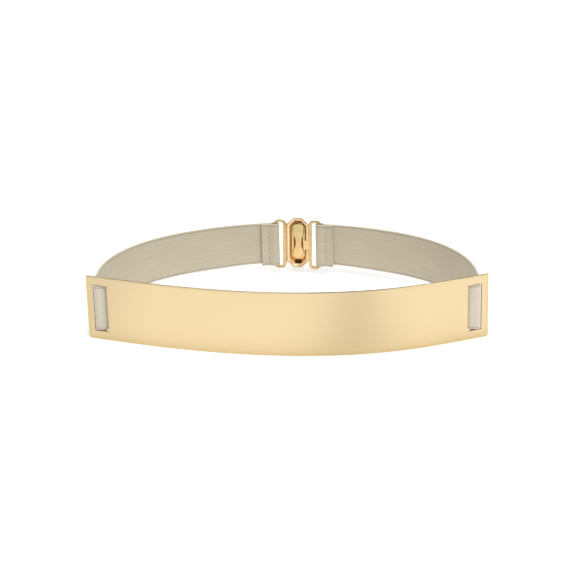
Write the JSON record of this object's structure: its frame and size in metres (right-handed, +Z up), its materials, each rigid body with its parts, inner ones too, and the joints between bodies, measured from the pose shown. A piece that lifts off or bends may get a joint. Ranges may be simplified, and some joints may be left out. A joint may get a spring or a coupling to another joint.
{
  "type": "elastic stretch belt",
  "caption": "Waist belt shown fastened: a curved polished metal front plate with an elastic band looped through a window at each end, and an interlocking clasp at the back.",
  "frame": {"origin": "middle of the belt's box, on the surface that the front plate's lower edge stands on", "axes": "+X along the front plate's chord, to the right of someone who faces the plate; +Y from the plate back to the clasp; +Z up along the belt's width"},
  "size_m": [0.304, 0.168, 0.051],
  "materials": {
    "plate_metal": "polished, gold coloured, with a fine satin sheen",
    "elastic": "ribbed woven elastic, khaki beige, sewn with matching thread",
    "clasp_metal": "gold coloured, cast and polished"
  },
  "bodies": {
    "root": {"front_plate": "plate_metal", "strap_left": "elastic", "strap_right": "elastic", "clasp_frame": "clasp_metal", "clasp_hook": "clasp_metal"}
  },
  "joints": []
}
